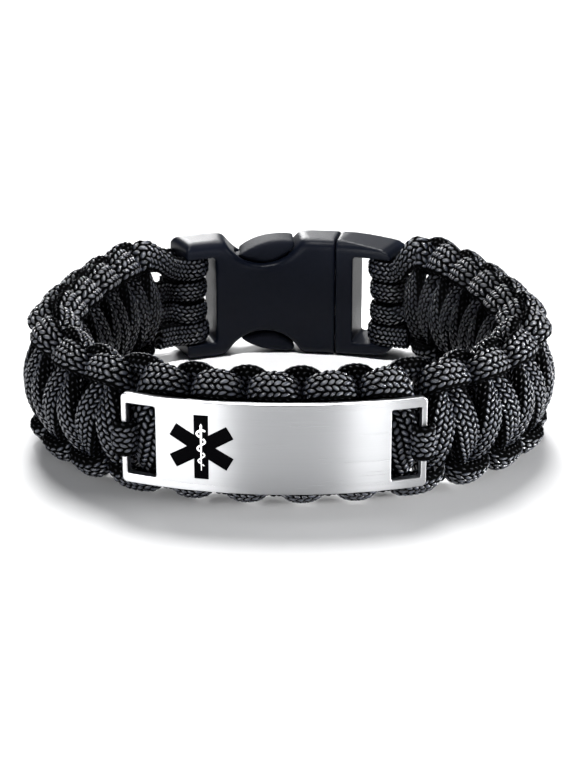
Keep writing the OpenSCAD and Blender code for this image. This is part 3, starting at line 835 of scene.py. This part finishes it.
class BRACELET_OT_plate(bpy.types.Operator):
    """Round the steel plate's edges and brush it"""

    bl_idname = "bracelet.plate"
    bl_label = "Identity plate"

    def execute(self, context):
        sizes = context.scene.bracelet_plate
        star = Vector(bend(np.array([STAR_S, 0.0, PLATE_FACE])))
        bm = merged_copy("identity_plate")
        sharp = [e for e in bm.edges
                 if len(e.link_faces) == 2 and e.calc_face_angle() > radians(40)
                 and min((v.co - star).length for v in e.verts) > (STAR_SPAN / 2 + STAR_ROOM) * MM]
        bmesh.ops.bevel(bm, geom=sharp, offset=sizes.edge_round, segments=2, profile=0.5,
                        affect="EDGES", material=-1)
        mesh = bpy.data.meshes.new("steel_plate")
        bm.to_mesh(mesh)
        bm.free()
        mesh.shade_smooth()
        mesh.set_sharp_from_angle(angle=radians(35))
        round_normals(mesh)
        piece = place_on_frame("steel_plate", mesh)
        finish = steel_finish("brushed_steel", sizes.steel_colour, roughness=0.3, depth=0.000012)
        finish_piece(piece, "identity_plate", finish)
        return {"FINISHED"}


class BRACELET_OT_star(bpy.types.Operator):
    """Build the six-armed star of enamel"""

    bl_idname = "bracelet.star"
    bl_label = "Star"

    def execute(self, context):
        sizes = context.scene.bracelet_plate
        bm = bmesh.new()
        arm_length = STAR_SPAN / 2
        for turn in range(3):
            bar = bmesh.ops.create_grid(bm, x_segments=1, y_segments=1, size=1)["verts"]
            bmesh.ops.scale(bm, vec=(STAR_ARM / 2, arm_length, 1), verts=bar)
            bmesh.ops.rotate(bm, cent=(0, 0, 0), matrix=Matrix.Rotation(turn * pi / 3, 3, "Z"), verts=bar)
            bmesh.ops.translate(bm, vec=(0, 0, 0.002 * turn), verts=bar)
        for cut in np.arange(-arm_length, arm_length, FACET_STEP):
            bmesh.ops.bisect_plane(bm, geom=bm.verts[:] + bm.edges[:] + bm.faces[:], plane_co=(cut, 0, 0),
                                   plane_no=(1, 0, 0))
        mesh = on_plate_face("star_inlay", bm, STAR_PROUD)
        piece = place_on_frame("star_inlay", mesh)
        finish_piece(piece, "enamel_star", enamel_finish(sizes.enamel_colour))
        return {"FINISHED"}


class BRACELET_OT_sign(bpy.types.Operator):
    """Build the staff in the star and the snake that winds round it"""

    bl_idname = "bracelet.sign"
    bl_label = "Staff and snake"

    def execute(self, context):
        sizes = context.scene.bracelet_plate
        bm = bmesh.new()
        fall = np.linspace(0, 1, RIBBON_POINTS)
        half = STAFF_HALF * (1 - STAFF_TAPER * fall) * np.sqrt(np.clip(fall / STAFF_CAP, 0, 1))
        self.ribbon(bm, 0 * fall, STAFF_TOP - 2 * STAFF_TOP * fall, half)
        for start, end in SNAKE_PARTS:
            self.ribbon(bm, *self.snake(np.linspace(start, end, RIBBON_POINTS)))
        mesh = on_plate_face("staff_and_snake", bm, SIGN_PROUD)
        piece = place_on_frame("staff_and_snake", mesh)
        material = steel_finish("pale_steel", sizes.sign_colour, roughness=0.42, depth=0.000006)
        finish_piece(piece, "staff_sign", material)
        return {"FINISHED"}

    def snake(self, turns):
        """The snake's middle line in mm, and its half width, after so many turns from its head."""
        across = (SNAKE_DRAW_IN * turns - SNAKE_SWING) * np.sin(2 * pi * turns)
        winding = SNAKE_DROP * turns - SNAKE_TIGHTEN * turns ** 2
        half = (SNAKE_HALF - SNAKE_TAPER * turns) * np.clip(1.5 + 4 * turns, 0.7, 1)
        return across, SNAKE_TOP - np.where(turns > 0, winding, -turns), half

    def ribbon(self, bm, x, y, half):
        """A flat strip along a line, of changing width."""
        slope = np.stack([np.gradient(x), np.gradient(y)], axis=-1)
        slope /= np.linalg.norm(slope, axis=1, keepdims=True)
        strip = bmesh.ops.create_grid(bm, x_segments=len(x) - 1, y_segments=1, size=1)["verts"]
        for vert in strip:
            step = round((vert.co.x + 1) / 2 * (len(x) - 1))
            offset = vert.co.y * half[step]
            vert.co = x[step] - slope[step, 1] * offset, y[step] + slope[step, 0] * offset, 0


class BRACELET_OT_buckle(bpy.types.Operator):
    """Build the two halves of the buckle with moulded edges and softened finger cuts"""

    bl_idname = "bracelet.buckle"
    bl_label = "Buckle"

    def execute(self, context):
        sizes = context.scene.bracelet_buckle
        nowhere = -1
        for name, node, button_end in (("moulded_socket", "buckle_socket", nowhere),
                                       ("moulded_plug", "buckle_plug", BUTTON_END * MM)):
            bm = merged_copy(node)
            mesh = bpy.data.meshes.new(name)
            bm.to_mesh(mesh)
            bm.free()
            piece = place_on_frame(name, mesh)
            cells = piece.modifiers.new("cells", "REMESH")
            cells.mode = "VOXEL"
            cells.voxel_size = sizes.voxel
            evaluated_mesh(piece)
            self.round_edges(piece, sizes)
            piece.data.shade_smooth()
            material = plastic_finish(f"{name}_plastic", sizes.plastic_colour, button_end)
            finish_piece(piece, node, material)
        return {"FINISHED"}

    def round_edges(self, piece, sizes):
        """Softens every edge a little, and more round the finger cuts."""
        place = np.empty(3 * len(piece.data.vertices))
        piece.data.vertices.foreach_get("co", place)
        place = place.reshape(-1, 3) / MM
        if piece.name == "moulded_plug":
            place = drawn_buttons(place)
            piece.data.vertices.foreach_set("co", MM * place.ravel())
        soften(piece, "edges", np.ones(len(place)), sizes.edge_rounds)
        if piece.name == "moulded_socket":
            edge = MID_Z - np.abs(place[:, 2] - MID_Z)
            beside = np.abs(place[:, 0] - CUT_X)
            near = ease((CUT_HALF - beside) / CUT_FADE_ALONG) * ease((CUT_DEPTH - edge) / CUT_FADE_DOWN)
            soften(piece, "finger_cuts", near, sizes.cut_rounds)
        else:
            left = ease((BUTTON_SOFT - place[:, 0]) / BUTTON_SOFT_FADE)
            up = np.abs(place[:, 2] - MID_Z) - BUTTON_UP
            soften(piece, "buttons", left * ease((up + 0.5) / BUTTON_FADE), sizes.cut_rounds // 2)
        evaluated_mesh(piece)


class BRACELET_OT_stage(bpy.types.Operator):
    """Set the floor, the soft lights and the camera"""

    bl_idname = "bracelet.stage"
    bl_label = "Stage"

    def execute(self, context):
        sizes = context.scene.bracelet_stage
        bm = bmesh.new()
        bmesh.ops.create_grid(bm, x_segments=1, y_segments=1, size=3)
        mesh = bpy.data.meshes.new("floor")
        bm.to_mesh(mesh)
        bm.free()
        mesh.materials.append(floor_finish(sizes.floor_colour))
        floor = bpy.data.objects.new("floor", mesh)
        context.scene.collection.objects.link(floor)
        top = self.light("top_light", "SUN", sizes.top_light, place=(-0.02, 0.58, 0.82))
        top.angle = radians(28)
        inside = self.light("inside_light", "SPOT", sizes.inside_light, place=(0, -0.25, 0.7),
                            target=(0, 0.036, 0))
        inside.spot_size = radians(5.2)
        inside.spot_blend = 0.4
        self.panel("back_light", sizes.back_light, place=(-0.21, 1.2, 0.4), wide=0.36, high=0.4)
        self.panel("left_light", sizes.left_light, place=(-0.46, -0.48, 0.06), wide=0.6, high=0.11)
        self.panel("right_light", sizes.right_light, place=(0.28, -0.59, 0.07), wide=0.16, high=0.12)
        self.panel("side_light", sizes.side_light, place=(0.65, -0.12, 0.05), wide=0.25, high=0.08)
        world = bpy.data.worlds.new("sky")
        world.use_nodes = True
        background = world.node_tree.nodes["Background"]
        background.inputs["Color"].default_value = (0.85, 0.92, 1, 1)
        background.inputs["Strength"].default_value = sizes.sky
        context.scene.world = world
        context.scene.view_settings.view_transform = "Standard"
        self.camera(context)
        return {"FINISHED"}

    def light(self, name, kind, power, place, target=(0, 0, 0)):
        """A light at a place in metres, turned towards a target on the floor."""
        lamp = bpy.data.lights.new(name, kind)
        lamp.energy = power
        made = bpy.data.objects.new(name, lamp)
        made.location = place
        made.rotation_euler = (Vector(target) - Vector(place)).to_track_quat("-Z", "Y").to_euler()
        bpy.context.scene.collection.objects.link(made)
        return lamp

    def panel(self, name, power, place, wide, high):
        """A soft light of a rectangular shape."""
        lamp = self.light(name, "AREA", power, place)
        lamp.shape = "RECTANGLE"
        lamp.size = wide
        lamp.size_y = high

    def camera(self, context):
        """The photograph's viewpoint, with the lens given for the picture's long side."""
        lens = bpy.data.cameras.new("camera")
        lens.sensor_width = SENSOR
        lens.lens = FOCAL_PIXELS / PHOTO_HEIGHT * SENSOR
        lens.clip_start = 0.01
        made = bpy.data.objects.new("camera", lens)
        made.location = CAMERA_PLACE
        made.rotation_euler = (radians(90 - CAMERA_DOWN), 0, radians(CAMERA_TURN))
        context.scene.collection.objects.link(made)
        context.scene.camera = made


class BRACELET_PT_sidebar(bpy.types.Panel):
    bl_idname = "BRACELET_PT_sidebar"
    bl_label = "Bracelet"
    bl_space_type = "VIEW_3D"
    bl_region_type = "UI"
    bl_category = "Bracelet"

    def draw(self, context):
        for group in (context.scene.bracelet_cord, context.scene.bracelet_plate,
                      context.scene.bracelet_buckle, context.scene.bracelet_stage):
            box = self.layout.box()
            for key in group.bl_rna.properties.keys():
                if key not in ("rna_type", "name"):
                    box.prop(group, key)
        for operator in OPERATORS:
            self.layout.operator(operator.bl_idname)


SETTINGS = {"bracelet_cord": CordSettings, "bracelet_plate": PlateSettings,
            "bracelet_buckle": BuckleSettings, "bracelet_stage": StageSettings}
OPERATORS = (BRACELET_OT_knots, BRACELET_OT_cores, BRACELET_OT_tag_loops, BRACELET_OT_plate,
             BRACELET_OT_star, BRACELET_OT_sign, BRACELET_OT_buckle, BRACELET_OT_stage)


def register():
    for made in (*SETTINGS.values(), *OPERATORS, BRACELET_PT_sidebar):
        bpy.utils.register_class(made)
    for key, group in SETTINGS.items():
        setattr(bpy.types.Scene, key, PointerProperty(type=group))


def unregister():
    for key in SETTINGS:
        delattr(bpy.types.Scene, key)
    for made in (BRACELET_PT_sidebar, *reversed(OPERATORS), *SETTINGS.values()):
        bpy.utils.unregister_class(made)


def main():
    register()
    bpy.ops.bracelet.stage()
    bpy.ops.bracelet.knots()
    bpy.ops.bracelet.cores()
    bpy.ops.bracelet.tag_loops()
    bpy.ops.bracelet.plate()
    bpy.ops.bracelet.star()
    bpy.ops.bracelet.sign()
    bpy.ops.bracelet.buckle()


if __name__ == "__main__":
    main()
